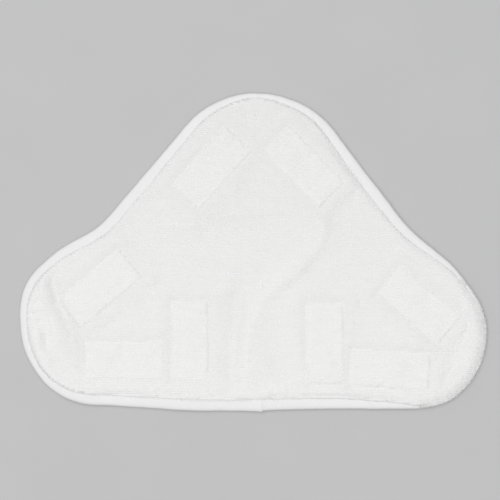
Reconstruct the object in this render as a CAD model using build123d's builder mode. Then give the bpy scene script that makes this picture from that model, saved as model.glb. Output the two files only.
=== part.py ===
"""A triangular washable cleaning pad for a steam mop, laid flat with its terry cleaning face up.

Units are millimetres, +Z is up. The origin is the middle of the pad's bounding box in plan, on the
plane that the fastener strips rest on. +X runs along the long straight edge and +Y points to the crown.
The pad is a stack of soft layers, held together by a folded binding round the rim and by the seams
that fasten the eight loop strips to the underside.
"""

from build123d import *

import os

# ---------------------------------------------------------------- driving dimensions
# The cut: corners of a polygon and the radius that rounds each one, anticlockwise from the left heel.
OUTLINE = [
    # x, y, radius
    (-127.0, -94.0, 47.0),  # left heel
    (-144.5, -57.0, 60.0),  # left tip, lower half
    (-146.0, -20.5, 41.0),  # left tip, upper half
    (-120.0, 2.5, 70.0),  # left shoulder
    (-95.5, 15.0, 55.0),  # left waist, concave
    (-16.0, 108.5, 57.0),  # crown, left half
    (40.5, 89.5, 54.0),  # crown, right half
    (97.0, 15.0, 87.0),  # right waist, concave
    (125.5, -8.5, 81.0),  # right shoulder
    (155.0, -47.0, 50.0),  # right tip
    (125.0, -98.5, 43.0),  # right heel
    (48.5, -98.0, 1500.0),  # long edge, almost straight
    (-23.0, -100.0, 550.0),  # long edge, almost straight
]

# Layers, from the resting plane upwards.
STRIP_GROUND = 0.6  # woven ground of the loop tape
STRIP_LOOPS = 0.9  # loops that the mop head's hooks catch
BACKING = 0.6  # knitted backing cloth
CORE = 1.6  # absorbent inner cloth
TERRY_GROUND = 1.0  # knitted ground of the terry cloth
TERRY_PILE = 2.8  # microfibre loops standing on that ground

# Edge binding: one tape, folded in half over the rim, its ends lapped at the middle of the long edge.
TAPE = 0.6
BINDING_LEG = 7.4  # how far each half of the fold reaches in from the rim
BINDING_FOLD_RADIUS = 1.2
LAP_X = (-8.0, 6.5)  # where the turned-under end covers the tape's start
LAP_PROUD = 0.4  # the lap stands this far above the tape on every side

# Seams.
THREAD = 0.4  # thickness of a row of stitches
BINDING_SEAM_INSET = 6.0  # from the rim
STRIP_SEAM_INSET = 1.2  # from the edges of a strip
SEAM_VALLEY = 1.7  # width of the channel that a seam presses into a pile

# Fastener strips: all cut from one loop tape. Each has a name, its centre and the angle of its length.
STRIP_LENGTH = 52.0
STRIP_WIDTH = 25.4
STRIP_CORNER = 1.0
STRIPS = {
    "crown_left": (-25.0, 52.0, 48.0),
    "crown_right": (32.0, 53.0, -45.5),
    "left_wing_slant": (-95.0, -23.0, 40.0),
    "left_wing_base": (-80.0, -67.5, 1.0),
    "left_wing_inner": (-38.8, -55.5, 90.0),
    "right_wing_slant": (103.5, -33.0, -39.0),
    "right_wing_base": (85.4, -73.3, -3.5),
    "right_wing_inner": (45.3, -56.8, 91.0),
}

PILE_EDGE_RADIUS = 1.4  # rounds the top of the pile where it meets the binding

# ---------------------------------------------------------------- heights worked out from the layers
BACKING_Z = STRIP_GROUND + STRIP_LOOPS
CORE_Z = BACKING_Z + BACKING
TERRY_Z = CORE_Z + CORE
PILE_Z = TERRY_Z + TERRY_GROUND
TOP_Z = PILE_Z + TERRY_PILE
BINDING_BOTTOM_Z = BACKING_Z - TAPE
BINDING_TOP_Z = PILE_Z + TAPE
LONG_EDGE_Y = OUTLINE[-1][1]


def draw_outline(inset=0.0):
    """The pad's outline as a face, drawn in from the cut edge by inset."""
    with BuildSketch() as plan:
        with BuildLine():
            FilletPolyline(
                *[(x, y) for x, y, _ in OUTLINE],
                radius=[radius for _, _, radius in OUTLINE],
                close=True,
            )
        make_face()
        offset(amount=-inset)
    return plan.sketch


def draw_ring(outer_inset, inner_inset):
    """The band of the outline between two insets."""
    with BuildSketch() as band:
        add(draw_outline(outer_inset))
        add(draw_outline(inner_inset), mode=Mode.SUBTRACT)
    return band.sketch


def strip_place(name):
    """Where a strip's own sketch goes: its centre and its turn."""
    x, y, angle = STRIPS[name]
    return Location((x, y, 0), (0, 0, angle))


def draw_seam(names, width):
    """A rectangular frame of the given width, centred on the seam line of each named strip."""
    length, breadth = STRIP_LENGTH - 2 * STRIP_SEAM_INSET, STRIP_WIDTH - 2 * STRIP_SEAM_INSET
    with BuildSketch() as frame:
        with Locations(*[strip_place(name) for name in names]):
            Rectangle(length + width, breadth + width)
            Rectangle(length - width, breadth - width, mode=Mode.SUBTRACT)
    return frame.sketch


def make_backing_cloth():
    """The knitted cloth that faces the mop head and carries the strips."""
    with BuildPart() as backing:
        with BuildSketch(Plane.XY.offset(BACKING_Z)):
            add(draw_outline(TAPE))
        extrude(amount=BACKING)
    return backing.part


def make_absorbent_core():
    """The inner cloth that holds water and condensate."""
    with BuildPart() as core:
        with BuildSketch(Plane.XY.offset(CORE_Z)):
            add(draw_outline(TAPE))
        extrude(amount=CORE)
    return core.part


def make_terry_face():
    """The cleaning face: a knitted ground with loops on it, pressed into valleys along the strip seams."""
    with BuildPart() as terry:
        with BuildSketch(Plane.XY.offset(PILE_Z)):
            add(draw_outline(BINDING_LEG))
        extrude(amount=TERRY_PILE)
        fillet(terry.edges().group_by(Axis.Z)[-1], radius=PILE_EDGE_RADIUS)
        with BuildSketch(Plane.XY.offset(TERRY_Z)):
            add(draw_outline(TAPE))
        extrude(amount=TERRY_GROUND)
        with BuildSketch(Plane.XY.offset(PILE_Z)):
            add(draw_seam(STRIPS, SEAM_VALLEY))
        extrude(amount=TERRY_PILE, mode=Mode.SUBTRACT)
    return terry.part


def mark_lap(mode):
    """Keeps or removes, in the open part, the block of space where the tape's two ends lap."""
    lap_start, lap_end = LAP_X
    with Locations(((lap_start + lap_end) / 2, LONG_EDGE_Y, BINDING_BOTTOM_Z)):
        Box(lap_end - lap_start, 4 * BINDING_LEG, 4 * BINDING_TOP_Z, mode=mode)


def make_fold(proud):
    """A solid band along the rim, proud of the single tape on every side, with its two edges rounded."""
    bottom_z, top_z = BINDING_BOTTOM_Z - proud, BINDING_TOP_Z + proud
    with BuildPart() as fold:
        with BuildSketch(Plane.XY.offset(bottom_z)):
            add(draw_outline(-proud))
        extrude(amount=top_z - bottom_z)
        fillet(fold.edges().filter_by(Plane.XY), radius=BINDING_FOLD_RADIUS)
        with BuildSketch(Plane.XY.offset(bottom_z)):
            add(draw_outline(BINDING_LEG))
        extrude(amount=top_z - bottom_z, mode=Mode.SUBTRACT)
    return fold.part


def make_edge_binding():
    """The tape that wraps the rim of every layer, with its turned-under end lapped over its start."""
    with BuildPart() as binding:
        add(make_fold(LAP_PROUD))
        mark_lap(Mode.INTERSECT)
        add(make_fold(0))
        with BuildSketch(Plane.XY.offset(BACKING_Z)):
            add(draw_outline(TAPE))
        extrude(amount=PILE_Z - BACKING_Z, mode=Mode.SUBTRACT)
    return binding.part


def make_stitch_row(surface_z, side):
    """A row of stitches all round the binding, lying on a surface at surface_z on that side of it."""
    with BuildPart() as row:
        with BuildSketch(Plane.XY.offset(surface_z)):
            add(draw_ring(BINDING_SEAM_INSET - THREAD / 2, BINDING_SEAM_INSET + THREAD / 2))
        extrude(amount=side * THREAD)
    return row.part


def make_binding_thread(surface_z, side):
    """One side's thread of the binding seam: a row on the tape, and a raised run over the lap."""
    with BuildPart() as raised:
        add(make_stitch_row(surface_z + side * LAP_PROUD, side))
        mark_lap(Mode.INTERSECT)
    with BuildPart() as thread:
        add(make_stitch_row(surface_z, side))
        mark_lap(Mode.SUBTRACT)
        add(raised.part)
    return thread.part


def make_fastener_strip(name):
    """A loop tape: a woven ground, and loops with a valley pressed into them along the seam."""
    with BuildPart() as strip:
        with BuildSketch():
            with Locations(strip_place(name)):
                RectangleRounded(STRIP_LENGTH, STRIP_WIDTH, STRIP_CORNER)
        extrude(amount=STRIP_LOOPS + STRIP_GROUND)
        with BuildSketch():
            add(draw_seam([name], SEAM_VALLEY))
        extrude(amount=STRIP_LOOPS, mode=Mode.SUBTRACT)
    return strip.part


def make_strip_thread(name):
    """The seam round a strip: a row of stitches on the terry's ground, and one on the tape's ground."""
    with BuildPart() as rows:
        with BuildSketch(Plane.XY.offset(PILE_Z)):
            add(draw_seam([name], THREAD))
        extrude(amount=THREAD)
        with BuildSketch(Plane.XY.offset(STRIP_LOOPS)):
            add(draw_seam([name], THREAD))
        extrude(amount=-THREAD)
    return rows.part


def main():
    pieces = {
        "backing_cloth": make_backing_cloth(),
        "absorbent_core": make_absorbent_core(),
        "terry_face": make_terry_face(),
        "edge_binding": make_edge_binding(),
        "binding_needle_thread": make_binding_thread(BINDING_TOP_Z, 1),
        "binding_bobbin_thread": make_binding_thread(BINDING_BOTTOM_Z, -1),
    }
    for name in STRIPS:
        pieces[f"fastener_strip_{name}"] = make_fastener_strip(name)
        pieces[f"strip_thread_{name}"] = make_strip_thread(name)
    os.makedirs("parts", exist_ok=True)
    for name, part in pieces.items():
        part.label = name
        export_step(part, f"parts/{name}.step")


main()
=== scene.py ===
import math

import bmesh
import bpy
import numpy as np
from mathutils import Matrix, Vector


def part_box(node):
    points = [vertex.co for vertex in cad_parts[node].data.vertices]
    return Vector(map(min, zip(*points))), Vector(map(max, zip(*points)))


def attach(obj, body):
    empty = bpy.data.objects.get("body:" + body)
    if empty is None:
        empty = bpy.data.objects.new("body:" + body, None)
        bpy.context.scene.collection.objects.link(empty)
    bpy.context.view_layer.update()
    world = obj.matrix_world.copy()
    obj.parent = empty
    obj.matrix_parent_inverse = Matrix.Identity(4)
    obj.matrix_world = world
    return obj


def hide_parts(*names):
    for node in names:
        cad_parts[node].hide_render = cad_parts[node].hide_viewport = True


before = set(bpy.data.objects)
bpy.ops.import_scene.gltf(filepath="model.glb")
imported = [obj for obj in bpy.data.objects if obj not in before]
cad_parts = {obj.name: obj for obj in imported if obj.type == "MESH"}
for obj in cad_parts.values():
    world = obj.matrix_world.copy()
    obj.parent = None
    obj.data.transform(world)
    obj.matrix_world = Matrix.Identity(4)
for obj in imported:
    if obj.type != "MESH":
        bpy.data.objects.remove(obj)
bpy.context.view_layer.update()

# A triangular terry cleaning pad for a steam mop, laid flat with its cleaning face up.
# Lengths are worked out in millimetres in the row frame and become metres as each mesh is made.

MM = 0.001
BODY = "root"

# ---------------- how this pad lies
# How much of the binding shows beside the pile at places round the rim, judged to half a millimetre.
# The pile leans over the tape at the rounded corners, and on the right wing it hangs over the rim.
REVEAL = [
    (0, -98, 7.0),  # the lap, in the middle of the long edge
    (55, -98, 6.5),  # long edge, right
    (92, -96, 4.0),  # long edge, where the tape starts to go under
    (105, -96, 1.5),
    (122, -92, -0.5),  # right heel, covered
    (142, -50, -1.0),  # right tip, overhung
    (139, -28, 0.0),
    (123, -6, 3.5),  # right shoulder
    (95, 17, 6.5),  # right waist
    (67, 54, 7.0),  # right flank
    (30, 93, 4.5),  # crown, right
    (2, 98, 3.0),  # crown, middle
    (-29, 90, 5.0),  # crown, left
    (-64, 48, 6.5),  # left flank
    (-95, 12, 6.5),  # left waist
    (-123, 1, 5.5),  # left shoulder
    (-140, -30, 4.5),  # left tip
    (-133, -74, 4.0),  # left heel
    (-101, -92, 6.5),  # long edge, left end
    (-57, -98, 6.5),  # long edge, left
]
# Soft folds that the pad was left with: the line each follows, its half width, and how far it lifts.
FOLDS = [
    ([(40, 34), (43, 22), (42, 6), (31, -8), (16, -19), (6, -30)], 5.6, 0.85),
    ([(26, -11), (16, -19), (6, -30), (0, -46), (-4, -62), (-3, -82)], 5.8, 1.2),
    ([(55, 36), (53, 18), (48, 2), (38, -10), (26, -20)], 6.0, -0.4),
    ([(-7, -14), (-10, -32), (-11, -50), (-12, -68), (-13, -86)], 5.0, -0.95),
    ([(14, -46), (13, -60), (16, -74), (20, -86)], 5.0, -0.75),
    ([(-22, 20), (-13, 18), (2, 19), (16, 21)], 3.2, -0.95),
    ([(-4, 88), (-2, 80)], 2.2, -0.45),
    ([(3, 88), (3, 80)], 2.0, -0.5),
    ([(-122, -10), (-122, -28), (-114.5, -45), (-111.5, -56), (-111, -66), (-112, -80)], 4.2, -1.75),
    ([(-131, -14), (-130, -24), (-131, -31)], 4.0, 1.1),
    ([(-134, -44), (-133, -56), (-130, -66), (-124, -76)], 4.6, 1.0),
    ([(-126, -41), (-123, -50), (-122, -62)], 3.8, 0.8),
    ([(-129, -50), (-127, -60)], 2.4, -0.6),
    ([(-142, -34), (-132, -32.5), (-121, -35)], 1.6, -0.7),
    ([(-140, -37), (-130, -35.5), (-124, -37)], 1.4, 0.4),
    ([(-138, -39), (-135.5, -39)], 1.2, -1.45),
    ([(-134, -43), (-126, -44)], 1.4, -0.5),
    ([(77.6, -84), (79.2, -84)], 0.9, -1.2),
    ([(11, -85), (17, -91), (24, -96)], 2.2, -0.8),
    ([(9, -90), (15, -87), (24, -87)], 3.0, 0.7),
    ([(-30, 92), (-8, 91), (20, 90)], 3.2, 0.35),
    ([(30, -87), (60, -87.5), (92, -90)], 2.6, 0.5),
    ([(28, -84), (60, -84), (100, -87)], 1.7, -0.5),
    ([(-110, -86), (-70, -85), (-30, -86)], 3.0, 0.4),
]
FOLD_LIFT = 1.5  # scales every lift above
RESTS_AT = 0.25  # how high the backing lies where nothing holds it off the floor
DROOP_REACH = 13.0  # how far from a strip the cloth is back on the floor
RIM_REACH = 8.0  # and how far from the binding
WAVE_REACH = 24.0  # how far in from the rim its waves die out
STRIP_CELL = 0.55  # spacing of a strip's points
STRIP_SEAM_INSET = 1.2  # from the edges of a strip
SEAM_DEPTH = 0.75  # a strip's seam pulls the pile down by this much
SEAM_LOWEST = 0.5  # how far outside its stitches the pile is lowest
SEAM_HALF_WIDTH = 1.0  # how quickly the pile comes up again over the strip
SEAM_SPREAD = 3.2  # and away from it
BINDING_SEAM_INSET = 6.0  # from the rim
STITCH_PITCH = 2.9
STITCH_RADIUS = 0.2
STITCH_LENGTH = 0.8  # of the pitch
TOP_THREAD_SINK = 0.16  # how far the seam's thread lies under the tape's face
LAP_THREAD_RISE = 0.1  # and how much higher over the lap
UNDER_THREAD_Z = 0.33  # how high its lower thread lies
STRIP_THREAD_SINK = 0.32  # how far a strip's thread lies in the pile
STRIP_THREAD_Z = 0.62  # and how high it lies among the strip's loops
TAPE_LIFT = 0.15  # how far off the floor the binding lies
LAP_TUCK = 4.0  # the lap starts this far back, inside the tape
FOLD_ROUND = 2.1  # how far in from the rim the binding's top is still curving over
PILE_ROLL = 4.2  # how far in from its edge the pile reaches its full height
PILE_ROLL_HANGING = 6.0  # the same where the pile hangs over the rim
PILE_CLEAR = 0.05  # gap between the pile's edge and the tape
HANGING_EDGE = 3.2  # height of the pile's edge where it hangs over the rim
PILE_UNDER = 3.6  # height of the terry's lower face, inside the fold

# Terry: loops stand in rows along X. A mesh point sits on each loop and between each two.
LOOP_ROW = 1.36
LOOP_COLUMN = 1.28
LOOP_RISE = 0.48  # about half the height between a loop's tip and the hollow beside it
LOOP_WANDER = 0.5  # how far from its place in its row a loop's tip may lean, as a share of the spacing
PUCKER_CELL = 3.0  # spacing of the simulated cloth
PUCKER_FULL = 0.008  # how much too large the simulated cloth is cut
PUCKER_FRAMES = 30
PUCKER_LIMIT = (0.3, 0.3, 0.6)  # how far a pucker may shift the pile along X, Y and Z

# ---------------- the layers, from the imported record
low_of = {name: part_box(name)[0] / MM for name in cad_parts}
high_of = {name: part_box(name)[1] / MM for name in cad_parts}


def height_of(node):
    return high_of[node].z - low_of[node].z


STRIP_NODES = sorted(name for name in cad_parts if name.startswith("fastener_strip_"))
STRIP_THICK = height_of(STRIP_NODES[0])
BACKING = height_of("backing_cloth")
CORE = height_of("absorbent_core")
PAD_THICK = BACKING + CORE + height_of("terry_face")
TERRY_GROUND = 1.0  # the terry's knitted ground, under its pile
GROUND_TOP = high_of["absorbent_core"].z - low_of["backing_cloth"].z + TERRY_GROUND
TAPE = low_of["absorbent_core"].x - low_of["edge_binding"].x
BINDING_LEG = 7.4  # how far each half of the fold reaches in from the rim


# ---------------- number tools
def smooth_step(t):
    t = np.clip(t, 0, 1)
    return t * t * (3 - 2 * t)


def unit(vectors):
    return vectors / np.linalg.norm(vectors, axis=-1)[..., None]


def soft_noise(x, y, cell, seed):
    """Smooth random heights from -1 to 1 with one random value every cell millimetres."""
    size = 256
    values = np.random.default_rng(seed).uniform(-1, 1, (size, size))
    u, v = np.asarray(x, float) / cell + 4 * size, np.asarray(y, float) / cell + 4 * size
    i, j = np.floor(u).astype(int), np.floor(v).astype(int)
    fu, fv = smooth_step(u - i), smooth_step(v - j)
    i, j, i2, j2 = i % size, j % size, (i + 1) % size, (j + 1) % size
    near = values[i, j] * (1 - fu) + values[i2, j] * fu
    far = values[i, j2] * (1 - fu) + values[i2, j2] * fu
    return near * (1 - fv) + far * fv


def blurred_ring(values, sigma):
    """Values round a closed line, smoothed by a bell curve sigma entries wide."""
    reach = int(4 * sigma)
    weights = np.exp(-0.5 * (np.arange(-reach, reach + 1) / sigma) ** 2)
    weights /= weights.sum()
    return sum(w * np.roll(values, k - reach, axis=0) for k, w in enumerate(weights))


def evenly_spaced(points, step):
    """Points about step apart along a closed line."""
    points = np.vstack([points, points[:1]])
    gone = np.concatenate([[0], np.cumsum(np.linalg.norm(np.diff(points, axis=0), axis=1))])
    at = np.linspace(0, gone[-1], max(2, int(round(gone[-1] / step))) + 1)
    return np.stack([np.interp(at, gone, points[:, k]) for k in range(2)], axis=1)[:-1]


# ---------------- the rim
def node_points(node):
    return np.array([v.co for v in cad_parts[node].data.vertices]) / MM


def boundary_walk(faces):
    """The vertices round a patch of faces, in order."""
    faces = np.asarray(faces)
    sides = set(zip(faces.ravel().tolist(), np.roll(faces, -1, axis=1).ravel().tolist()))
    after = {a: b for a, b in sides if (b, a) not in sides}
    walk = [min(after)]
    while after[walk[-1]] != walk[0]:
        walk.append(after[walk[-1]])
    return np.array(walk)


def cap_edge(node):
    """The edge of a node's flat top face, in order, anticlockwise."""
    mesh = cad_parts[node].data
    mesh.calc_loop_triangles()
    points = node_points(node)
    corners = np.array([t.vertices for t in mesh.loop_triangles])
    corners = corners[(points[corners][:, :, 2] > points[:, 2].max() - 0.01).all(axis=1)]
    keys = np.round(points[:, :2] * 1000).astype(int)
    _, first, same = np.unique(keys, axis=0, return_index=True, return_inverse=True)
    return points[first][boundary_walk(same.reshape(-1)[corners])][:, :2]


def directions(line):
    """Unit vectors along a closed line and to the left of it, at each point."""
    along = unit(np.roll(line, -1, axis=0) - np.roll(line, 1, axis=0))
    return along, np.stack([-along[:, 1], along[:, 0]], axis=1)


# The needle thread steps up over the lap, which shows where the lap is.
raised = node_points("binding_needle_thread")
raised = raised[raised[:, 2] > raised[:, 2].max() - 0.1]
LAP_START, LAP_END = raised[:, 0].min(), raised[:, 0].max()
LAP_LENGTH = LAP_END - LAP_START

# The rim is the core's edge and the tape outside it. It runs anticlockwise from the lap's start.
RIM_STEP = 0.5
rim = blurred_ring(evenly_spaced(cap_edge("absorbent_core"), RIM_STEP), 5)
rim = evenly_spaced(rim - TAPE * directions(rim)[1], RIM_STEP)
start = np.argmin(np.hypot(rim[:, 0] - LAP_START, rim[:, 1] - rim[:, 1].min()))
RIM = np.roll(rim, -start, axis=0)
TANGENT, INWARD = directions(RIM)
STEP = np.linalg.norm(np.diff(RIM, axis=0), axis=1).mean()
RIM_LENGTH = STEP * len(RIM)
RIM_S = np.arange(len(RIM)) * STEP


def from_rim(x, y):
    """How far along the rim each point is, and how far inside it."""
    flat = np.stack([np.ravel(x), np.ravel(y)], axis=1)
    nearest = np.empty(len(flat), int)
    squares = (RIM**2).sum(axis=1)
    for k in range(0, len(flat), 4000):
        nearest[k : k + 4000] = (squares - 2 * flat[k : k + 4000] @ RIM.T).argmin(axis=1)
    off = flat - RIM[nearest]
    along = (off * TANGENT[nearest]).sum(axis=1)
    inside = (off * INWARD[nearest]).sum(axis=1)
    s = (nearest * STEP + along) % RIM_LENGTH
    return s.reshape(np.shape(x)), inside.reshape(np.shape(x))


def on_rim(s, table):
    """A table's value at s, where the table has one row for each rim point."""
    s = np.asarray(s) % RIM_LENGTH
    if table.ndim == 1:
        return np.interp(s, RIM_S, table, period=RIM_LENGTH)
    return np.stack([np.interp(s, RIM_S, column, period=RIM_LENGTH) for column in table.T], axis=-1)


def round_rim(controls):
    """A table round the rim from values at places near it."""
    controls = np.array(controls, float)
    s, _ = from_rim(controls[:, 0], controls[:, 1])
    order = np.argsort(s)
    return blurred_ring(np.interp(RIM_S, s[order], controls[order, 2], period=RIM_LENGTH), 7)


def rim_noise(cell, seed):
    return soft_noise(RIM_S, 0 * RIM_S, cell, seed)


REVEAL_TABLE = round_rim(REVEAL) + 0.1 * rim_noise(5.0, 11) + 0.08 * rim_noise(1.7, 12)
HANGING = smooth_step((3.2 - blurred_ring(REVEAL_TABLE, 12)) / 3.4)  # 1 where the pile hangs over the rim
RIM_WAVE = 0.75 * np.clip(blurred_ring(rim_noise(31.0, 21), 12) + 0.15, 0, 1)  # lifts the rim off the floor
# How sharply the rim turns, near 1 where it turns most.
CURVED = np.linalg.norm(np.roll(TANGENT, -8, axis=0) - np.roll(TANGENT, 8, axis=0), axis=1)
CURVED = blurred_ring(CURVED / CURVED.max(), 10)


# ---------------- the strips
def strip_frame(node):
    """A strip's centre, the directions of its length and width, and its half length and half width."""
    points = node_points(node)[:, :2]
    centre = (points.max(axis=0) + points.min(axis=0)) / 2
    reach = np.hypot(*(points - centre).T)
    corners = points[reach > 0.93 * reach.max()]
    values, vectors = np.linalg.eigh(np.cov((corners - centre).T))
    length_way = vectors[:, np.argmax(values)]
    width_way = np.array([-length_way[1], length_way[0]])
    return centre, length_way, width_way, np.ptp(points @ length_way) / 2, np.ptp(points @ width_way) / 2


STRIP_FRAMES = {node: strip_frame(node) for node in STRIP_NODES}


def from_strip(x, y, strip, inset=0.0):
    """How far each point is outside a strip's rectangle, and how far along and across it the point is."""
    centre, length_way, width_way, half_length, half_width = strip
    x, y = x - centre[0], y - centre[1]
    u, v = (x * way[0] + y * way[1] for way in (length_way, width_way))
    over_u, over_v = np.abs(u) - half_length + inset, np.abs(v) - half_width + inset
    out = np.hypot(np.maximum(over_u, 0), np.maximum(over_v, 0)) + np.minimum(np.maximum(over_u, over_v), 0)
    return out, u, v


# ---------------- heights
def underside(x, y, s, inside):
    """The height of the backing's lower face: up on the strips and the binding, down on the floor between."""
    lift = (TAPE + TAPE_LIFT - RESTS_AT) * smooth_step((BINDING_LEG + RIM_REACH - inside) / RIM_REACH)
    lift = lift + on_rim(s, RIM_WAVE) * smooth_step((WAVE_REACH - inside) / WAVE_REACH)
    total = lift**4
    for strip in STRIP_FRAMES.values():
        out, _, _ = from_strip(x, y, strip)
        total = total + ((STRIP_THICK - RESTS_AT) * smooth_step(1 - out / DROOP_REACH)) ** 4
    return RESTS_AT + total**0.25


def folds(x, y):
    """How far the soft folds lift or sink the pad."""
    height = np.zeros(np.shape(x))
    for points, half_width, lift in FOLDS:
        line = spline(points)
        best, where = np.full(np.shape(x), np.inf), np.zeros(np.shape(x))
        for k, (px, py) in enumerate(line):
            gap = (x - px) ** 2 + (y - py) ** 2
            nearer = gap < best
            best = np.where(nearer, gap, best)
            where = np.where(nearer, k / (len(line) - 1), where)
        taper = smooth_step(where * 4) * smooth_step((1 - where) * 4)
        height += FOLD_LIFT * lift * (0.25 + 0.75 * taper) * np.exp(-best / half_width**2)
    return height


def spline(points):
    """A smooth line through points, about 1.5 mm a step."""
    points = np.array(points, float)
    padded = np.vstack([2 * points[0] - points[1], points, 2 * points[-1] - points[-2]])
    line = []
    for k in range(1, len(padded) - 2):
        a, b, c, d = padded[k - 1 : k + 3]
        count = max(2, int(np.linalg.norm(c - b) / 1.5))
        for t in np.arange(count) / count:
            bend = 2 * b + (c - a) * t + (2 * a - 5 * b + 4 * c - d) * t**2
            line.append(0.5 * (bend + (3 * b - a - 3 * c + d) * t**3))
    return np.array(line + [points[-1]])


def seams(x, y):
    """How deep the strips' seams press the pile, deeper at each stitch hole."""
    depth = np.zeros(np.shape(x))
    for k, strip in enumerate(STRIP_FRAMES.values()):
        out, u, v = from_strip(x, y, strip, STRIP_SEAM_INSET)
        gap = np.abs(out)
        along = np.where(np.abs(u) - strip[3] > np.abs(v) - strip[4], v, u)
        hole = np.exp(-((gap / 0.55) ** 2)) * (0.5 + 0.5 * np.cos(2 * math.pi * along / STITCH_PITCH)) ** 2
        uneven = 1 + 0.35 * soft_noise(x, y, 9.0, 40 + k)
        spread = np.where(out < SEAM_LOWEST, SEAM_HALF_WIDTH, SEAM_SPREAD)
        press = np.exp(-(((out - SEAM_LOWEST) / spread) ** 2)) + 0.95 * hole
        pull = 0.2 * np.exp(-((gap / 3.4) ** 2)) * (0.6 + 0.8 * soft_noise(along, gap / 3, 4.3, 60 + k))
        depth = np.maximum(depth, SEAM_DEPTH * uneven * press + pull)
    return depth


def painted_patch_light_and_shade(x, y):
    """Painted light and shade for the pile: over zero, painted light, on a strip's patch; under zero, painted
    shade, in the hollow round that.
    """
    painted_light_and_shade = np.zeros(np.shape(x))
    for strip in STRIP_FRAMES.values():
        out, _, _ = from_strip(x, y, strip, STRIP_SEAM_INSET)
        painted_light_and_shade += np.where(out < 0, 0.34 + 0.16 * np.exp(out / 2.5), -0.36 * np.exp(-np.maximum(out, 0) / 4.5))
    return np.clip(painted_light_and_shade, -0.4, 0.5)


def tape_base(s):
    """The height of the upper face of the binding's lower half."""
    return TAPE + TAPE_LIFT + on_rim(s, RIM_WAVE)


def tape_top(inside, s):
    """The height of the binding's upper face."""
    base = tape_base(s)
    top = base + GROUND_TOP + TAPE + 0.22 * np.sin(np.clip(inside / BINDING_LEG, 0, 1) * math.pi)
    middle = base + 0.45 * GROUND_TOP
    round_over = np.sqrt(np.clip(1 - (1 - np.clip(inside / FOLD_ROUND, 0, 1)) ** 2, 0, 1))
    return middle + (top - middle) * round_over


puckers = None


def pucker(x, y):
    """The simulated cloth's displacement (x, y, z) at each point."""
    if puckers is None:
        return np.zeros(np.shape(x) + (3,))
    low, field = puckers
    u, v = (x - low[0]) / PUCKER_CELL, (y - low[1]) / PUCKER_CELL
    i, j = np.floor(u).astype(int), np.floor(v).astype(int)
    fu, fv = u - i, v - j
    total = np.zeros(np.shape(x) + (3,))
    for a, wa in zip(range(-1, 3), catmull(fu)):
        for b, wb in zip(range(-1, 3), catmull(fv)):
            ia, jb = np.clip(i + a, 0, field.shape[0] - 1), np.clip(j + b, 0, field.shape[1] - 1)
            total += (wa * wb)[..., None] * field[ia, jb]
    return total


def catmull(t):
    """A cubic's weights for the four values round a place t of the way between the middle two."""
    return (
        0.5 * (-(t**3) + 2 * t**2 - t),
        0.5 * (3 * t**3 - 5 * t**2 + 2),
        0.5 * (-3 * t**3 + 4 * t**2 + t),
        0.5 * (t**3 - t**2),
    )


def pile_top(x, y):
    """The height of the terry's face, without its loops, and how far inside the pile's edge each point is."""
    s, inside = from_rim(x, y)
    depth = inside - on_rim(s, REVEAL_TABLE)
    hanging = on_rim(s, HANGING)
    full = underside(x, y, s, inside) + PAD_THICK + folds(x, y) - seams(x, y) + pucker(x, y)[..., 2]
    full = full + 0.12 * soft_noise(x, y, 7.0, 31) + 0.05 * soft_noise(x, y, 3.1, 32)
    edge_inside = np.maximum(inside - depth, 0)
    edge = (tape_top(edge_inside, s) + PILE_CLEAR) * (1 - hanging) + HANGING_EDGE * hanging
    roll = PILE_ROLL + (PILE_ROLL_HANGING - PILE_ROLL) * hanging
    power = 1.08 + 1.0 * on_rim(s, CURVED) * (1 - hanging) + 0.2 * hanging
    rise = np.clip(1 - (1 - np.clip(depth / roll, 0, 1)) ** power, 0, 1) ** (1 / power)
    return edge + (full - edge) * rise, depth


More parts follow.
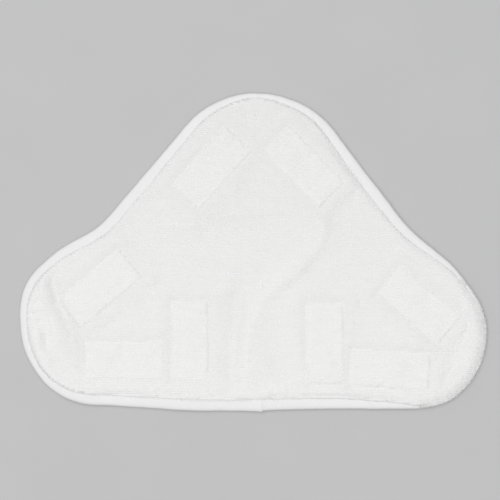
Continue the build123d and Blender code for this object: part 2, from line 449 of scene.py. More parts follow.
def simulate_puckers():
    """Lets the sewn cloth, cut a little full, buckle between its seams as a real pad does."""
    low = RIM.min(axis=0) - PUCKER_CELL
    count = np.ceil((RIM.max(axis=0) - low) / PUCKER_CELL).astype(int) + 2
    columns, rows = (low[k] + np.arange(count[k]) * PUCKER_CELL for k in range(2))
    x, y = np.meshgrid(columns, rows, indexing="ij")
    s, inside = from_rim(x, y)
    kept = inside > 3
    rest = underside(x, y, s, inside) + PAD_THICK + folds(x, y)
    seam_gaps = [np.abs(from_strip(x, y, strip, STRIP_SEAM_INSET)[0]) for strip in STRIP_FRAMES.values()]
    on_strip_seam = 1 - (np.min(seam_gaps, axis=0) - 1.4) / 1.2
    under_binding = 1 - (inside - BINDING_LEG) / 1.5
    held = np.clip(np.maximum(on_strip_seam, under_binding), 0.012, 1)[kept]
    index = -np.ones(kept.shape, int)
    index[kept] = np.arange(kept.sum())
    quads = lattice_quads(index)
    quads = quads[(quads >= 0).all(axis=1)]
    scale = 0.01  # the cloth solver likes a sheet metres across
    uneven = 0.25 * soft_noise(x[kept], y[kept], 8.0, 71)
    start = np.stack([x[kept], y[kept], rest[kept] + uneven], axis=1)
    mesh = bpy.data.meshes.new("pucker_cloth")
    mesh.from_pydata((start * scale).tolist(), [], quads.tolist())
    cloth = add_object("pucker_cloth", mesh)
    group = cloth.vertex_groups.new(name="sewn")
    for k, weight in enumerate(held):
        group.add([k], float(weight), "REPLACE")
    solver = cloth.modifiers.new("cloth", "CLOTH")
    stuff = solver.settings
    stuff.quality = 7
    stuff.mass = 0.25
    stuff.tension_stiffness = stuff.compression_stiffness = 18
    stuff.shear_stiffness = 6
    stuff.bending_stiffness = 1.5
    stuff.vertex_group_mass = "sewn"
    stuff.pin_stiffness = 1.0
    stuff.shrink_min = -PUCKER_FULL
    stuff.effector_weights.gravity = 0
    solver.collision_settings.use_collision = False
    solver.point_cache.frame_end = PUCKER_FRAMES
    scene = bpy.context.scene
    for number in range(1, PUCKER_FRAMES + 1):
        scene.frame_set(number)
    shape = cloth.evaluated_get(bpy.context.evaluated_depsgraph_get()).to_mesh()
    end = np.empty(len(shape.vertices) * 3)
    shape.vertices.foreach_get("co", end)
    moved = end.reshape(-1, 3) / scale - start
    bpy.data.objects.remove(cloth)
    scene.frame_set(1)
    limit = np.array(PUCKER_LIMIT)
    field = np.zeros(kept.shape + (3,))
    field[kept] = limit * np.tanh(moved / limit) * (1 - smooth_step((held - 0.4) / 0.6))[:, None]
    return low, field


# ---------------- making pieces
def add_object(name, data):
    thing = bpy.data.objects.new(name, data)
    bpy.context.scene.collection.objects.link(thing)
    return thing


def new_piece(name, points, faces, material, replaced=()):
    """A smooth-shaded mesh in millimetres, riding the pad and standing for CAD nodes."""
    mesh = bpy.data.meshes.new(name)
    mesh.from_pydata((np.asarray(points) * MM).tolist(), [], [list(map(int, f)) for f in faces])
    mesh.update()
    mesh.polygons.foreach_set("use_smooth", [True] * len(mesh.polygons))
    piece = add_object(name, mesh)
    mesh.materials.append(material)
    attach(piece, BODY)
    if replaced:
        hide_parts(*replaced)
    return piece


def corner_vertices(mesh):
    """The vertex at every face corner of a mesh."""
    numbers = np.empty(len(mesh.loops), int)
    mesh.loops.foreach_get("vertex_index", numbers)
    return numbers


def lattice_quads(index):
    """The four corners of every square of a lattice of point numbers."""
    return np.stack([index[:-1, :-1], index[1:, :-1], index[1:, 1:], index[:-1, 1:]], axis=-1).reshape(-1, 4)


def ring_quads(index):
    """The same for a lattice whose rows close on themselves."""
    return lattice_quads(np.hstack([index, index[:, :1]]))


def cut_grid(depth, least):
    """The lattice points and squares that lie wholly where depth is more than least."""
    quads = lattice_quads(np.arange(depth.size).reshape(depth.shape))
    quads = quads[(depth > least).ravel()[quads].all(axis=1)]
    used, quads = np.unique(quads, return_inverse=True)
    return used, quads.reshape(-1, 4)


def pull_to_edge(x, y, walk, inset_at):
    """Moves a patch's outermost points onto the line that runs inset_at(s) inside the rim."""
    for _ in range(2):
        s, inside = from_rim(x[walk], y[walk])
        gap = inside - inset_at(s)
        way = on_rim(s, INWARD)
        x[walk] -= way[:, 0] * gap
        y[walk] -= way[:, 1] * gap


def skirt_below(points, walk, rings):
    """A patch's points with rings added under its edge, the quads that join these, and the last ring."""
    added = len(points) + np.arange(len(rings) * len(walk)).reshape(len(rings), -1)
    index = np.vstack([walk, added])
    return np.vstack([points, *rings]), np.roll(ring_quads(index), 1, axis=1).tolist(), index[-1]


def fill_loop(points, loop):
    """Triangles that close a loop of points, facing down."""
    mesh = bmesh.new()
    corners = [mesh.verts.new(points[k]) for k in loop]
    edges = [mesh.edges.new((corners[k], corners[(k + 1) % len(loop)])) for k in range(len(loop))]
    bmesh.ops.triangle_fill(mesh, use_beauty=True, edges=edges)
    number = {v: loop[k] for k, v in enumerate(corners)}
    made = []
    for face in mesh.faces:
        face.normal_update()
        ring = [number[v] for v in face.verts]
        made.append(ring if face.normal.z < 0 else ring[::-1])
    mesh.free()
    return made


def closed_slab(lower, upper, quads, ring):
    """Points and faces of a sheet between two copies of one lattice, walled round its edge."""
    count = len(lower)
    faces = [tuple(q) for q in quads + count] + [tuple(q[::-1]) for q in quads]
    faces += [(a, b, b + count, a + count) for a, b in zip(ring, np.roll(ring, -1))]
    return np.vstack([lower, upper]), faces


def sweep(paths, closed):
    """Quads between sections: paths has one row of points for each section. A section is a closed ring."""
    sections, around = paths.shape[:2]
    index = np.arange(sections * around).reshape(sections, around)
    faces = ring_quads(np.vstack([index, index[:1]]) if closed else index).tolist()
    if not closed:
        faces += [index[0].tolist(), index[-1][::-1].tolist()]
    return paths.reshape(-1, 3), faces


def tubes(centres, side, radius, around):
    """Threads: centres has a row of points for each thread, and side a unit vector across each."""
    side = side[:, None, :]
    other = np.cross(unit(np.gradient(centres, axis=1)), side)
    rings = []
    for k in range(around):
        angle = 2 * math.pi * k / around
        rings.append(centres + radius * (math.cos(angle) * side + math.sin(angle) * other))
    count, steps = centres.shape[:2]
    first = np.arange(count)[:, None] * steps * around
    quads = ring_quads(np.arange(steps * around).reshape(steps, around))
    faces = np.roll(quads[:, ::-1], 1, axis=1)[:, None] + first
    return np.stack(rings, axis=2).reshape(-1, 3), faces.reshape(-1, 4).tolist(), first


# ---------------- materials
class Nodes:
    """A short way to wire a material's nodes."""

    def __init__(self, name, colour, roughness, sheen):
        self.material = bpy.data.materials.new(name)
        self.material.use_nodes = True
        self.tree = self.material.node_tree
        self.shader = self.tree.nodes["Principled BSDF"]
        self.shader.inputs["Base Color"].default_value = (*colour, 1)
        self.shader.inputs["Roughness"].default_value = roughness
        self.shader.inputs["Specular IOR Level"].default_value = 0.25
        self.shader.inputs["Sheen Weight"].default_value = sheen
        self.shader.inputs["Sheen Roughness"].default_value = 0.6
        where = self.add("TexCoord").outputs["Object"]  # and as millimetres:
        self.place = self.add("VectorMath", {0: where, "Scale": 1000.0}, operation="SCALE").outputs[0]

    def add(self, kind, links=(), **values):
        node = self.tree.nodes.new("ShaderNode" + kind)
        for key, value in values.items():
            setattr(node, key, value)
        for key, value in dict(links).items():
            if isinstance(value, bpy.types.NodeSocket):
                self.tree.links.new(value, node.inputs[key])
            else:
                node.inputs[key].default_value = value
        return node

    def noise(self, size, detail=2.0):
        links = {"Vector": self.place, "Scale": 1.0 / size, "Detail": detail}
        return self.add("TexNoise", links).outputs["Fac"]

    def maths(self, operation, a, b, c=0.0):
        return self.add("Math", {0: a, 1: b, 2: c}, operation=operation).outputs[0]

    def weighted(self, value, share, rest=None):
        """A share of a value, added to the rest if there is any."""
        if rest is None:
            return self.maths("MULTIPLY", value, share)
        return self.maths("MULTIPLY_ADD", value, share, rest)

    def wave(self, vector, scale, distortion, way, detail=2.0):
        links = {"Vector": vector, "Scale": scale, "Distortion": distortion, "Detail": detail}
        return self.add("TexWave", links, bands_direction=way).outputs["Fac"]

    def colours(self, factor, dark, light, start=0.3, end=0.7):
        ramp = self.add("ValToRGB", {"Fac": factor})
        ramp.color_ramp.elements[0].position, ramp.color_ramp.elements[1].position = start, end
        ramp.color_ramp.elements[0].color, ramp.color_ramp.elements[1].color = (*dark, 1), (*light, 1)
        self.tree.links.new(ramp.outputs["Color"], self.shader.inputs["Base Color"])

    def bump(self, height, distance, strength=1.0):
        node = self.add("Bump", {"Height": height, "Distance": distance, "Strength": strength})
        self.tree.links.new(node.outputs["Normal"], self.shader.inputs["Normal"])

    def roughness(self, factor, low, high):
        node = self.add("MapRange", {"Value": factor, "To Min": low, "To Max": high})
        self.tree.links.new(node.outputs["Result"], self.shader.inputs["Roughness"])


def terry_material():
    """White microfibre loops: painted shade darkens the hollows between loops, and fine yarns roughen each
    loop.
    """
    m = Nodes("terry_microfibre", (0.87, 0.87, 0.865), 0.95, 0.35)
    broad, fine = m.noise(14.0), m.noise(0.5, 3.0)
    # The loop_head attribute carries painted light and shade: darker between loop heads, in fold valleys,
    # seams and round strip patches, lighter on fold ridges and patches, and darker towards the crown.
    head = m.add("Attribute", attribute_name="loop_head").outputs["Fac"]
    cells = m.add("Attribute", attribute_name="loop_place").outputs["Vector"]
    tips = m.add("TexVoronoi", feature="SMOOTH_F1", voronoi_dimensions="2D")
    m.tree.links.new(cells, tips.inputs["Vector"])
    tips.inputs["Scale"].default_value = 1.0
    tips.inputs["Smoothness"].default_value = 0.3
    tips.inputs["Randomness"].default_value = LOOP_WANDER
    nub = m.maths("SUBTRACT", 1.0, tips.outputs["Distance"])
    row_number = m.add("SeparateXYZ", {0: cells}).outputs[1]
    row = m.maths("COSINE", m.weighted(row_number, 2 * math.pi, -math.pi * LOOP_WANDER), 0.0)
    # Base colour: painted shade from head, from the loop tips (nub, darker between tips) and from the rows
    # (row), over random tone (broad).
    shade = m.weighted(head, 0.55, m.weighted(broad, 0.15, m.weighted(nub, 0.35)))
    shade = m.weighted(row, 0.04, shade)
    m.colours(shade, (0.85, 0.85, 0.846), (0.922, 0.922, 0.918), 0.15, 0.8)
    m.roughness(fine, 0.88, 1.0)
    yarns = m.weighted(fine, 0.2, m.weighted(m.noise(0.17), 0.1))
    m.bump(m.weighted(nub, 0.6, m.weighted(row, 0.1, yarns)), 0.0005, 0.8)
    return m.material


def yarn_material():
    """The same microfibre, seen on single loops."""
    m = Nodes("terry_yarn", (0.88, 0.88, 0.875), 0.95, 0.35)
    m.colours(m.noise(2.2), (0.86, 0.86, 0.856), (0.91, 0.91, 0.906))
    m.roughness(m.noise(0.6), 0.9, 1.0)
    m.bump(m.noise(0.2), 0.0001, 0.6)
    return m.material


def tape_material():
    """Woven binding tape: fine ribs across the tape, and a slight variation along it."""
    m = Nodes("binding_weave", (0.93, 0.93, 0.93), 0.7, 0.15)
    uv = m.add("UVMap", uv_map="along_mm").outputs["UV"]
    ribs = m.wave(uv, 0.55, 0.5, "X", 1.0)
    picks = m.wave(uv, 0.75, 0.3, "Y")
    broad = m.noise(9.0)
    shade = m.weighted(ribs, 0.35, m.weighted(broad, 0.65))
    m.colours(shade, (0.85, 0.85, 0.85), (0.9, 0.9, 0.9), 0.15, 0.8)
    m.roughness(broad, 0.62, 0.8)
    weave = m.weighted(picks, 0.3, m.weighted(m.noise(0.6), 0.5))
    m.bump(m.weighted(ribs, 0.6, weave), 0.00012, 0.8)
    return m.material


def thread_material():
    """Bright polyester thread with a fine twist."""
    m = Nodes("sewing_thread", (0.93, 0.93, 0.93), 0.5, 0.1)
    twist = m.wave(m.place, 1.6, 1.5, "DIAGONAL")
    m.colours(twist, (0.76, 0.76, 0.76), (0.87, 0.87, 0.87), 0.1, 0.9)
    m.roughness(m.noise(0.8), 0.42, 0.6)
    m.bump(twist, 0.00008, 0.6)
    return m.material


def knit_material(name, dark, light, pitch):
    """A plain knit: columns of stitches, each a small V."""
    m = Nodes(name, light, 0.9, 0.2)
    split = m.add("SeparateXYZ", {0: m.place})
    column = m.maths("PINGPONG", split.outputs[0], pitch)
    course = m.weighted(column, 0.9, split.outputs[1])
    stitch = m.maths("SINE", m.weighted(course, 2 * math.pi / pitch), 0.0)
    fine = m.noise(0.6)
    height = m.weighted(stitch, 0.35, m.weighted(column, 0.5 / pitch, m.weighted(fine, 0.4)))
    m.colours(m.weighted(m.noise(11.0), 0.5, m.weighted(height, 0.5)), dark, light, 0.1, 0.9)
    m.roughness(fine, 0.82, 0.97)
    m.bump(height, 0.00022, 0.7)
    return m.material


def floor_material():
    """A pale, nearly even floor."""
    m = Nodes("pale_floor", (0.55, 0.55, 0.55), 0.8, 0.0)
    m.colours(m.noise(60.0), (0.545, 0.545, 0.548), (0.556, 0.556, 0.556))
    m.bump(m.noise(1.5), 0.00004, 0.3)
    return m.material


TERRY = terry_material()
TERRY_YARN = yarn_material()
TAPE_CLOTH = tape_material()
THREAD = thread_material()
BACKING_KNIT = knit_material("backing_knit", (0.8, 0.8, 0.79), (0.88, 0.88, 0.87), 1.1)
CORE_CLOTH = knit_material("core_cloth", (0.76, 0.76, 0.74), (0.86, 0.86, 0.84), 1.8)
LOOP_TAPE = knit_material("loop_tape", (0.8, 0.8, 0.78), (0.9, 0.9, 0.88), 0.7)

puckers = simulate_puckers()


# ---------------- terry face
def make_terry():
    """The cleaning face: a cloth whose loops stand in rows, closed underneath."""
    margin = 3
    cell = np.array([LOOP_COLUMN, LOOP_ROW]) / 2
    low_x, low_y = RIM.min(axis=0) - margin
    across, up = ((np.ptp(RIM, axis=0) + 2 * margin) / cell).astype(int) + 1
    i, j = np.meshgrid(np.arange(across), np.arange(up), indexing="ij")
    x, y = low_x + i * cell[0], low_y + j * cell[1]
    x = x + 0.28 * soft_noise(y, x, 17.0, 81)
    y = y + 0.42 * soft_noise(x, y, 23.0, 82) + 0.1 * soft_noise(x, y, 5.0, 83)
    s, inside = from_rim(x, y)
    used, quads = cut_grid(inside - on_rim(s, REVEAL_TABLE), 0.22)
    x, y, i, j = (values.ravel()[used] for values in (x, y, i, j))
    walk = boundary_walk(quads)
    pull_to_edge(x, y, walk, lambda s: on_rim(s, REVEAL_TABLE))

    z, depth = pile_top(x, y)
    moved = pucker(x, y)
    random = np.random.default_rng(5)
    on_column, on_row = i % 2 == 0, j % 2 == 0
    head = np.where(on_row, np.where(on_column, 1.0, 0.7), np.where(on_column, 0.2, 0.08))
    edge_fade = smooth_step((depth - 0.2) / 1.2)
    tall = random.uniform(0.75, 1.2, len(x))
    rise = LOOP_RISE * (2 * head * tall - 0.9) * (0.35 + 0.65 * edge_fade)
    rise *= 1 - 0.45 * np.clip(seams(x, y) / SEAM_DEPTH, 0, 1)
    lean = random.normal(0, 0.09, (2, len(x))) * edge_fade
    shift_x, shift_y = moved[:, 0] * edge_fade, moved[:, 1] * edge_fade
    points = np.stack([x + shift_x + lean[0], y + shift_y + lean[1], z + rise], axis=1)

    # Below the edge the cloth turns down, then in under the tape's upper half to a flat lower face.
    s, _ = from_rim(points[walk, 0], points[walk, 1])
    way = on_rim(s, INWARD)
    rings = []
    for inset, drop in ((-0.05, 0.5), (1.9, 0.9)):
        ring = points[walk].copy()
        ring[:, :2] += way * inset
        ring[:, 2] -= drop * (1 - 0.2 * on_rim(s, HANGING))
        rings.append(ring)
    rings[1][:, 2] = PILE_UNDER
    rings[1][:, :2] += way * (BINDING_LEG - on_rim(s, REVEAL_TABLE) - 1.2)[:, None].clip(0, 9)
    rings.insert(1, 0.5 * rings[0] + 0.5 * rings[1])
    points, skirt, last = skirt_below(points, walk, rings)
    faces = [tuple(f) for f in quads] + skirt + fill_loop(points, last)
    piece = new_piece("terry_face_cloth", points, faces, TERRY, ["terry_face"])

    # For the material: the painted light and shade at each point, and which loop it belongs to.
    painted_light_and_shade = np.full(len(points), 0.3, np.float32)
    # Painted shade in the hollows between loop heads, painted light on fold ridges and shade in fold valleys,
    # and painted shade in the seams.
    shape = head * tall + 0.2 * folds(x, y) - 0.45 * seams(x, y)
    # Plus painted light on strip patches with painted shade round them, and painted shade that grows towards
    # the crown (+Y).
    painted_light_and_shade[: len(x)] = shape + painted_patch_light_and_shade(x, y) - 0.005 * y
    piece.data.attributes.new("loop_head", "FLOAT", "POINT").data.foreach_set("value", painted_light_and_shade)
    places = np.zeros((len(points), 3), np.float32)
    places[: len(x), :2] = np.column_stack([i, j]) / 2 + LOOP_WANDER / 2
    for k in range(len(rings)):
        first = len(x) + k * len(walk)
        places[first : first + len(walk), :2] = places[walk, :2] - 0.7 * (k + 1) * way
    attribute = piece.data.attributes.new("loop_place", "FLOAT_VECTOR", "POINT")
    attribute.data.foreach_set("vector", places.ravel())
    return piece


terry = make_terry()


# ---------------- loops that stand proud
def bake_cells(piece, part_points):
    """A bake layout that gives each small part of a piece a square of its own."""
    vertex = corner_vertices(piece.data)
    part, place = vertex // part_points, vertex % part_points
    cells = math.ceil(math.sqrt(len(piece.data.vertices) / part_points))
    u = (part % cells + 0.1 + 0.8 * (place % 3) / 2) / cells
    v = (part // cells + 0.1 + 0.8 * (place // 3) / (part_points // 3 - 1)) / cells
    piece.data.uv_layers.new(name="OFBake").data.foreach_set("uv", np.column_stack([u, v]).ravel())


def loop_tufts(name, x, y, lean_way, lean, width, height, radius, seed, lift):
    """Small arched yarn loops standing on the pile. lean_way tips each one over."""
    random = np.random.default_rng(seed)
    count, step = len(x), 0.3
    z, _ = pile_top(x, y)
    slope_x = (pile_top(x + step, y)[0] - pile_top(x - step, y)[0]) / (2 * step)
    slope_y = (pile_top(x, y + step)[0] - pile_top(x, y - step)[0]) / (2 * step)
    steep = np.maximum(1.0, np.hypot(slope_x, slope_y) / 1.6)
    normal = unit(np.stack([-slope_x / steep, -slope_y / steep, np.ones(count)], axis=1))
    turn = random.uniform(0, math.pi, count)
    side = np.stack([np.cos(turn), np.sin(turn), np.zeros(count)], axis=1)
    side = unit(side - normal * (side * normal).sum(axis=1)[:, None])
    tipped = normal + np.column_stack([lean_way * lean, np.zeros(count)])
    up = unit(tipped + random.normal(0, 0.28, (count, 3)) * [1, 1, 0.3])
    wide = width * random.uniform(0.7, 1.25, count)[:, None]
    tall = height * random.uniform(0.6, 1.3, count)[:, None]
    root = np.column_stack([x, y, z]) + lift * normal
    arch = [(-0.5, -0.45), (-0.52, 0.25), (-0.22, 0.92), (0.24, 0.95), (0.52, 0.2), (0.48, -0.45)]
    centres = np.stack([root + side * wide * a + up * tall * b for a, b in arch], axis=1)
    around = 3
    points, faces, _ = tubes(centres, unit(np.cross(up, side)), radius, around)
    piece = new_piece(name, points, faces, TERRY_YARN)
    bake_cells(piece, len(arch) * around)
    return piece


def scatter_along_edge(spacing, rows, seed, hanging_only):
    """Places along the pile's edge, with the way out over the rim."""
    random = np.random.default_rng(seed)
    row = np.arange(0, RIM_LENGTH, spacing)
    s, depth = [], []
    for row_depth in rows:
        s.append(row + random.uniform(-0.4, 0.4, len(row)) * spacing)
        depth.append(row_depth + random.uniform(-0.2, 0.2, len(row)))
    s, depth = np.concatenate(s), np.concatenate(depth)
    if hanging_only:
        keep = on_rim(s, HANGING) > 0.35
        s, depth = s[keep], depth[keep]
    way = on_rim(s, INWARD)
    place = on_rim(s, RIM) + way * (on_rim(s, REVEAL_TABLE) + depth)[:, None]
    return place[:, 0], place[:, 1], -way


at = scatter_along_edge(0.8, (0.45,), 93, hanging_only=False)
edge_loops = loop_tufts(
    "terry_edge_loops", *at, lean=0.15, width=0.8, height=0.26, radius=0.27, seed=94, lift=-0.14
)
at = scatter_along_edge(0.6, (0.15, 0.5), 95, hanging_only=True)
overhang_loops = loop_tufts(
    "terry_overhang_loops", *at, lean=1.0, width=0.85, height=0.78, radius=0.3, seed=96, lift=-0.05
)
at = scatter_along_edge(0.8, (1.0, 1.7, 2.5, 3.4, 4.4, 5.6, 7.0), 97, hanging_only=True)
buried = -0.16 - 0.05 * pile_top(at[0], at[1])[1]
sunk_loops = loop_tufts(
    "terry_sunk_loops", *at, lean=0.25, width=0.85, height=0.3, radius=0.32, seed=98, lift=buried[:, None]
)


# ---------------- binding
def tape_puckers(s, inside):
    """Small wrinkles that the seam, the curve of the rim and the lap pull into the tape."""
    near_seam = np.exp(-(((inside - 5.6) / 2.2) ** 2)) * np.cos(2 * math.pi * s / STITCH_PITCH)
    ruck = soft_noise(s + 0.8 * inside, inside / 6, 2.6, 101) * (0.1 + 0.16 * on_rim(s, CURVED))
    roll = 0.16 * soft_noise(s, 0 * s, 11.0, 102)
    by_lap = 0.3 * np.cos((s - 15 + 1.2 * inside) * 1.05) * np.exp(-(((s - 17) / 5.5) ** 2))
    return 0.07 * near_seam + ruck * smooth_step(inside / 1.5) + roll + by_lap * smooth_step(inside / 2)


def binding_profile():
    """Places round the folded tape's section: how far in on each half, and angles on the fold between."""
    top = [("top", inset) for inset in (BINDING_LEG, 6.9, 6.45, BINDING_SEAM_INSET, 5.55, 5.0, 4.2, 3.4, 2.6)]
    fold = [("fold", angle) for angle in (66, 44, 22, 0, -22, -44, -66)]
    bottom = [("bottom", inset) for inset in (2.6, 4.0, 5.4, BINDING_SEAM_INSET, 6.6, BINDING_LEG)]
    return top + fold + bottom


def binding_section(s, proud, reach):
    """Points of one closed section of the tape at each s, from the outside round to the inside."""
    point, way = on_rim(s, RIM), on_rim(s, INWARD)
    bottom_z = tape_base(s) - TAPE - proud * 0.3
    top_z = tape_top(np.full(len(s), FOLD_ROUND), s) + proud
    middle, half = (top_z + bottom_z) / 2, (top_z - bottom_z) / 2
    waver = 0.22 * soft_noise(s, 0 * s, 14.0, 103) + 0.07 * soft_noise(s, 0 * s, 3.0, 104)
    by_stitch = 0.8 + 0.35 * np.cos(2 * math.pi * s / STITCH_PITCH)
    outer = []
    for kind, value in binding_profile():
        if kind == "fold":
            angle = math.radians(value)
            inside = FOLD_ROUND * (1 - math.cos(angle)) * np.ones(len(s))
            swell = tape_puckers(s, inside)
            z = middle + half * math.sin(angle) + swell * math.sin(angle)
            inside = inside - 0.5 * swell * math.cos(angle)
        else:
            inside = np.full(len(s), value)
            off_seam = value - BINDING_SEAM_INSET
        if kind == "top":
            groove = 0.05 * np.exp(-((off_seam / 0.5) ** 2)) * by_stitch
            z = tape_top(inside, s) + proud + tape_puckers(s, inside) - groove
        if kind == "bottom":
            groove = 0.2 * math.exp(-((off_seam / 0.6) ** 2))
            z = np.maximum(bottom_z + 0.05 + groove + 0.3 * tape_puckers(s, inside), 0.03)
        wavered = inside + waver * smooth_step((6 - inside) / 6)
        inside = wavered - reach * smooth_step((BINDING_LEG - inside) / 5)
        outer.append(np.column_stack([point + way * inside[:, None], z]))
    outer = np.stack(outer, axis=1)
    inner = outer[:, 1:-1].copy()
    pull = np.gradient(outer, axis=1)[:, 1:-1]
    in_plane = np.stack([(pull[..., :2] * way[:, None, :]).sum(axis=2), pull[..., 2]], axis=2)
    normal = unit(np.stack([-in_plane[..., 1], in_plane[..., 0]], axis=2))
    thick = TAPE - 0.08
    inner[..., :2] += way[:, None, :] * (normal[..., 0] * thick)[..., None]
    inner[..., 2] += normal[..., 1] * thick
    return outer, inner[:, ::-1]


def along_uv(piece, s, lengths):
    """A UV map in millimetres: along the tape, and round its section."""
    vertex = corner_vertices(piece.data)
    u, v = s[vertex // len(lengths)], lengths[vertex % len(lengths)]
    polygons = piece.data.polygons
    first = np.repeat([p.loop_start for p in polygons], [p.loop_total for p in polygons])
    u = np.where(u[first] - u > RIM_LENGTH / 2, u + RIM_LENGTH, u)
    u = np.where(u - u[first] > RIM_LENGTH / 2, u - RIM_LENGTH, u)
    piece.data.uv_layers.new(name="along_mm").data.foreach_set("uv", np.column_stack([u, v]).ravel())


def tape_piece(name, s, proud, reach, closed, replaced=()):
    """A stretch of folded tape, proud of the usual height and reaching past the rim by so much at each s."""
    outer, inner = binding_section(s, proud, reach)
    section = np.concatenate([outer, inner], axis=1)
    points, faces = sweep(section, closed)
    faces = [f[::-1] for f in faces]
    piece = new_piece(name, points, faces, TAPE_CLOTH, replaced)
    gaps = np.linalg.norm(np.diff(section[0], axis=0), axis=1)
    along_uv(piece, s, np.concatenate([[0], np.cumsum(gaps)]))
    return piece


def make_binding():
    """The tape all round the rim, and its turned-under end lying over its start."""
    s = np.linspace(0, RIM_LENGTH, int(RIM_LENGTH / 0.75), endpoint=False)
    tape = tape_piece("edge_binding_tape", s, np.zeros(len(s)), np.zeros(len(s)), True, ["edge_binding"])
    lap = np.linspace(-LAP_TUCK, LAP_LENGTH, 26)
    share = np.clip((lap + LAP_TUCK) / (LAP_LENGTH + LAP_TUCK), 0, 1)
    proud = -0.3 + 0.38 * smooth_step(share * 1.2)
    reach = -0.3 + 0.45 * smooth_step(share * 1.5) + 0.65 * smooth_step((share - 0.55) / 0.45) ** 2
    return tape, tape_piece("edge_binding_lap", lap, proud, reach, False)


binding, lapped = make_binding()


# ---------------- stitches
def stitches(name, starts, ways, ups, replaced, share=STITCH_LENGTH):
    """Rows of short threads, each a share of the pitch long, that dive in at both ends."""
    arch = [(0.0, -0.45), (0.06, -0.1), (0.2, 0.0), (0.5, 0.03), (0.8, 0.0), (0.94, -0.1), (1.0, -0.45)]
    length, around = share * STITCH_PITCH, 6
    centres = np.stack([starts + ways * length * t + ups * h for t, h in arch], axis=1)
    points, faces, first = tubes(centres, unit(np.cross(ups, ways)), STITCH_RADIUS, around)
    near = first + np.arange(around)[::-1]
    far = first + (len(arch) - 1) * around + np.arange(around)
    return new_piece(name, points, faces + near.tolist() + far.tolist(), THREAD, replaced)


def binding_stitches(name, top, replaced):
    """One face of the seam that holds the binding."""
    count = int(RIM_LENGTH / STITCH_PITCH)
    s = (np.arange(count) + 0.5) * RIM_LENGTH / count - 0.4 * STITCH_PITCH
    inside = np.full(count, BINDING_SEAM_INSET)
    point, way, ahead = on_rim(s, RIM), on_rim(s, INWARD), on_rim(s, TANGENT)
    over_lap = np.where((s % RIM_LENGTH < LAP_LENGTH) | (s < 0), LAP_THREAD_RISE, 0)
    if top:
        z = tape_top(inside, s) - TOP_THREAD_SINK + over_lap
    else:
        z = UNDER_THREAD_Z + on_rim(s, RIM_WAVE)
    up = np.tile([0, 0, 1.0 if top else -1.0], (count, 1))
    starts = np.column_stack([point + way * inside[:, None], z])
    return stitches(name, starts, np.column_stack([ahead, np.zeros(count)]), up, replaced)


needle = binding_stitches("binding_seam_top", True, ["binding_needle_thread"])
bobbin = binding_stitches("binding_seam_under", False, ["binding_bobbin_thread"])


# ---------------- backing and core
def layer_sheet(name, cell, inset, under, over, material, replaced):
    """A closed sheet that follows the pad's underside between two levels above it."""
    x, y = np.meshgrid(np.arange(-150, 150, cell), np.arange(-105, 105, cell), indexing="ij")
    used, quads = cut_grid(from_rim(x, y)[1] - inset, 0.35 * cell)
    x, y = x.ravel()[used], y.ravel()[used]
    walk = boundary_walk(quads)
    pull_to_edge(x, y, walk, lambda s: inset)
    s, inside = from_rim(x, y)
    base = underside(x, y, s, inside) + 0.8 * np.maximum(folds(x, y), 0) + 0.05 * soft_noise(x, y, 6.0, 111)
    low, high = (np.column_stack([x, y, base + level]) for level in (under, over))
    points, faces = closed_slab(low, high, quads, walk)
    return new_piece(name, points, faces, material, replaced)


backing = layer_sheet(
    "backing_knit_sheet", 2.0, 1.2, 0.0, BACKING, BACKING_KNIT, ["backing_cloth"]
)
core = layer_sheet(
    "core_cloth_sheet", 2.5, 1.6, BACKING, BACKING + CORE, CORE_CLOTH, ["absorbent_core"]
)


# ---------------- loop strips and their seams
def make_strip(node):
    """A strip of loop tape: a plain woven upper face, and loops below that the seam presses flat."""
    centre, length_way, width_way, half_length, half_width = STRIP_FRAMES[node]
    name = node.replace("fastener_strip_", "")
    seed = STRIP_NODES.index(node)
    u, v = np.meshgrid(
        np.linspace(-half_length, half_length, int(2 * half_length / STRIP_CELL)),
        np.linspace(-half_width, half_width, int(2 * half_width / STRIP_CELL)),
        indexing="ij",
    )
    random = np.random.default_rng(200 + seed)
    edge = np.minimum(half_length - np.abs(u), half_width - np.abs(v))
    press = np.exp(-(((edge - STRIP_SEAM_INSET) / 0.7) ** 2))
    loops = random.uniform(0, 0.3, u.shape) * smooth_step(edge)
    low = 0.02 + loops + 0.75 * press + 0.45 * smooth_step(1 - edge / 0.8)
    low = np.minimum(low, STRIP_THICK - 0.35)
    v = v + 0.12 * soft_noise(u, 0 * u, 6.0, 210 + seed) * (np.abs(v) > half_width - 0.1)
    x, y = (centre[k] + u * length_way[k] + v * width_way[k] for k in range(2))
    high = np.full(x.shape, STRIP_THICK - 0.05)
    lower, upper = (np.stack([x, y, z], axis=-1).reshape(-1, 3) for z in (low, high))
    index = np.arange(x.size).reshape(x.shape)
    ring = np.concatenate([index[:-1, 0], index[-1, :-1], index[:0:-1, -1], index[0, :0:-1]])
    points, faces = closed_slab(lower, upper, lattice_quads(index), ring)
    piece = new_piece("loop_strip_" + name, points, faces, LOOP_TAPE, [node])
    thread = strip_stitches(node, name)


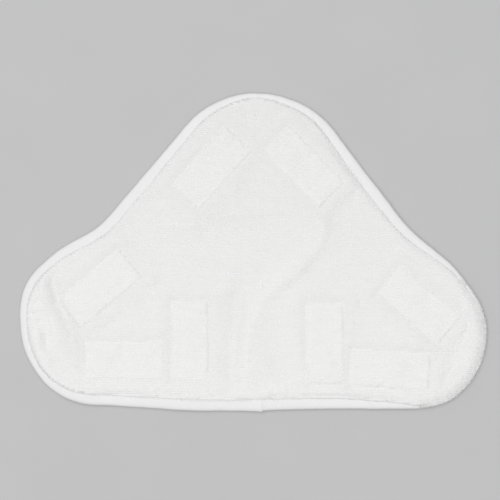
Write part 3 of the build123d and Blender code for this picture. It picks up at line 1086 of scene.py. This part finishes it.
def strip_stitches(node, name):
    """The seam round a strip, on the terry and on the loops."""
    centre, length_way, width_way, half_length, half_width = STRIP_FRAMES[node]
    a, b = half_length - STRIP_SEAM_INSET, half_width - STRIP_SEAM_INSET
    corners = np.array([(-a, -b), (a, -b), (a, b), (-a, b)])
    starts, ways = [], []
    for p, q in zip(corners, np.roll(corners, -1, axis=0)):
        count = int(round(np.linalg.norm(q - p) / STITCH_PITCH))
        way = unit(q - p)
        at = p + (q - p) * (np.arange(count)[:, None] + 0.12) / count
        place = centre + at[:, :1] * length_way + at[:, 1:] * width_way
        starts.append(np.column_stack([place, np.zeros(count)]))
        ways.append(np.tile([*(way[0] * length_way + way[1] * width_way), 0], (count, 1)))
    starts, ways = (np.repeat(np.vstack(rows), 2, axis=0) for rows in (starts, ways))
    ups = np.tile([(0, 0, 1.0), (0, 0, -1.0)], (len(starts) // 2, 1))
    middle = starts + ways * 0.4 * STITCH_PITCH
    top, _ = pile_top(middle[:, 0], middle[:, 1])
    starts[:, 2] = np.where(ups[:, 2] > 0, top - STRIP_THREAD_SINK, STRIP_THREAD_Z)
    return stitches("strip_seam_" + name, starts, ways, ups, ["strip_thread_" + name], share=0.78)


for node in STRIP_NODES:
    make_strip(node)


# ---------------- floor, light and camera
def make_floor():
    bpy.ops.mesh.primitive_grid_add(x_subdivisions=4, y_subdivisions=4, size=6, location=(0, 0, 0))
    floor = bpy.context.object
    floor.name = "floor"
    floor.data.materials.append(floor_material())


def area_light(name, place, size, power):
    """A round soft light that looks at the pad."""
    light = bpy.data.lights.new(name, "AREA")
    light.shape, light.size, light.energy = "DISK", size, power
    lamp = add_object(name, light)
    lamp.location = place
    lamp.rotation_euler = (-Vector(place)).to_track_quat("-Z", "Y").to_euler()


def make_camera():
    """Straight down over the pad, as far up as a long lens needs to see 311.5 mm across."""
    seen, lens, sensor, pad_height = 0.3115, 85, 36, 0.005
    camera_data = bpy.data.cameras.new("camera")
    camera_data.lens, camera_data.sensor_width = lens, sensor
    camera = add_object("camera", camera_data)
    camera.location = (-0.00137, 0.00112, seen * lens / sensor + pad_height)
    bpy.context.scene.camera = camera


def make_world(strength):
    """White light from all round."""
    world = bpy.data.worlds.new("studio")
    world.use_nodes = True
    background = world.node_tree.nodes["Background"]
    background.inputs["Color"].default_value = (1, 1, 1, 1)
    background.inputs["Strength"].default_value = strength
    bpy.context.scene.world = world


make_floor()
area_light("overhead", (-0.28, 0.22, 2.5), 2.8, 46.5)
make_world(0.42)
bpy.context.scene.view_settings.view_transform = "Standard"
make_camera()
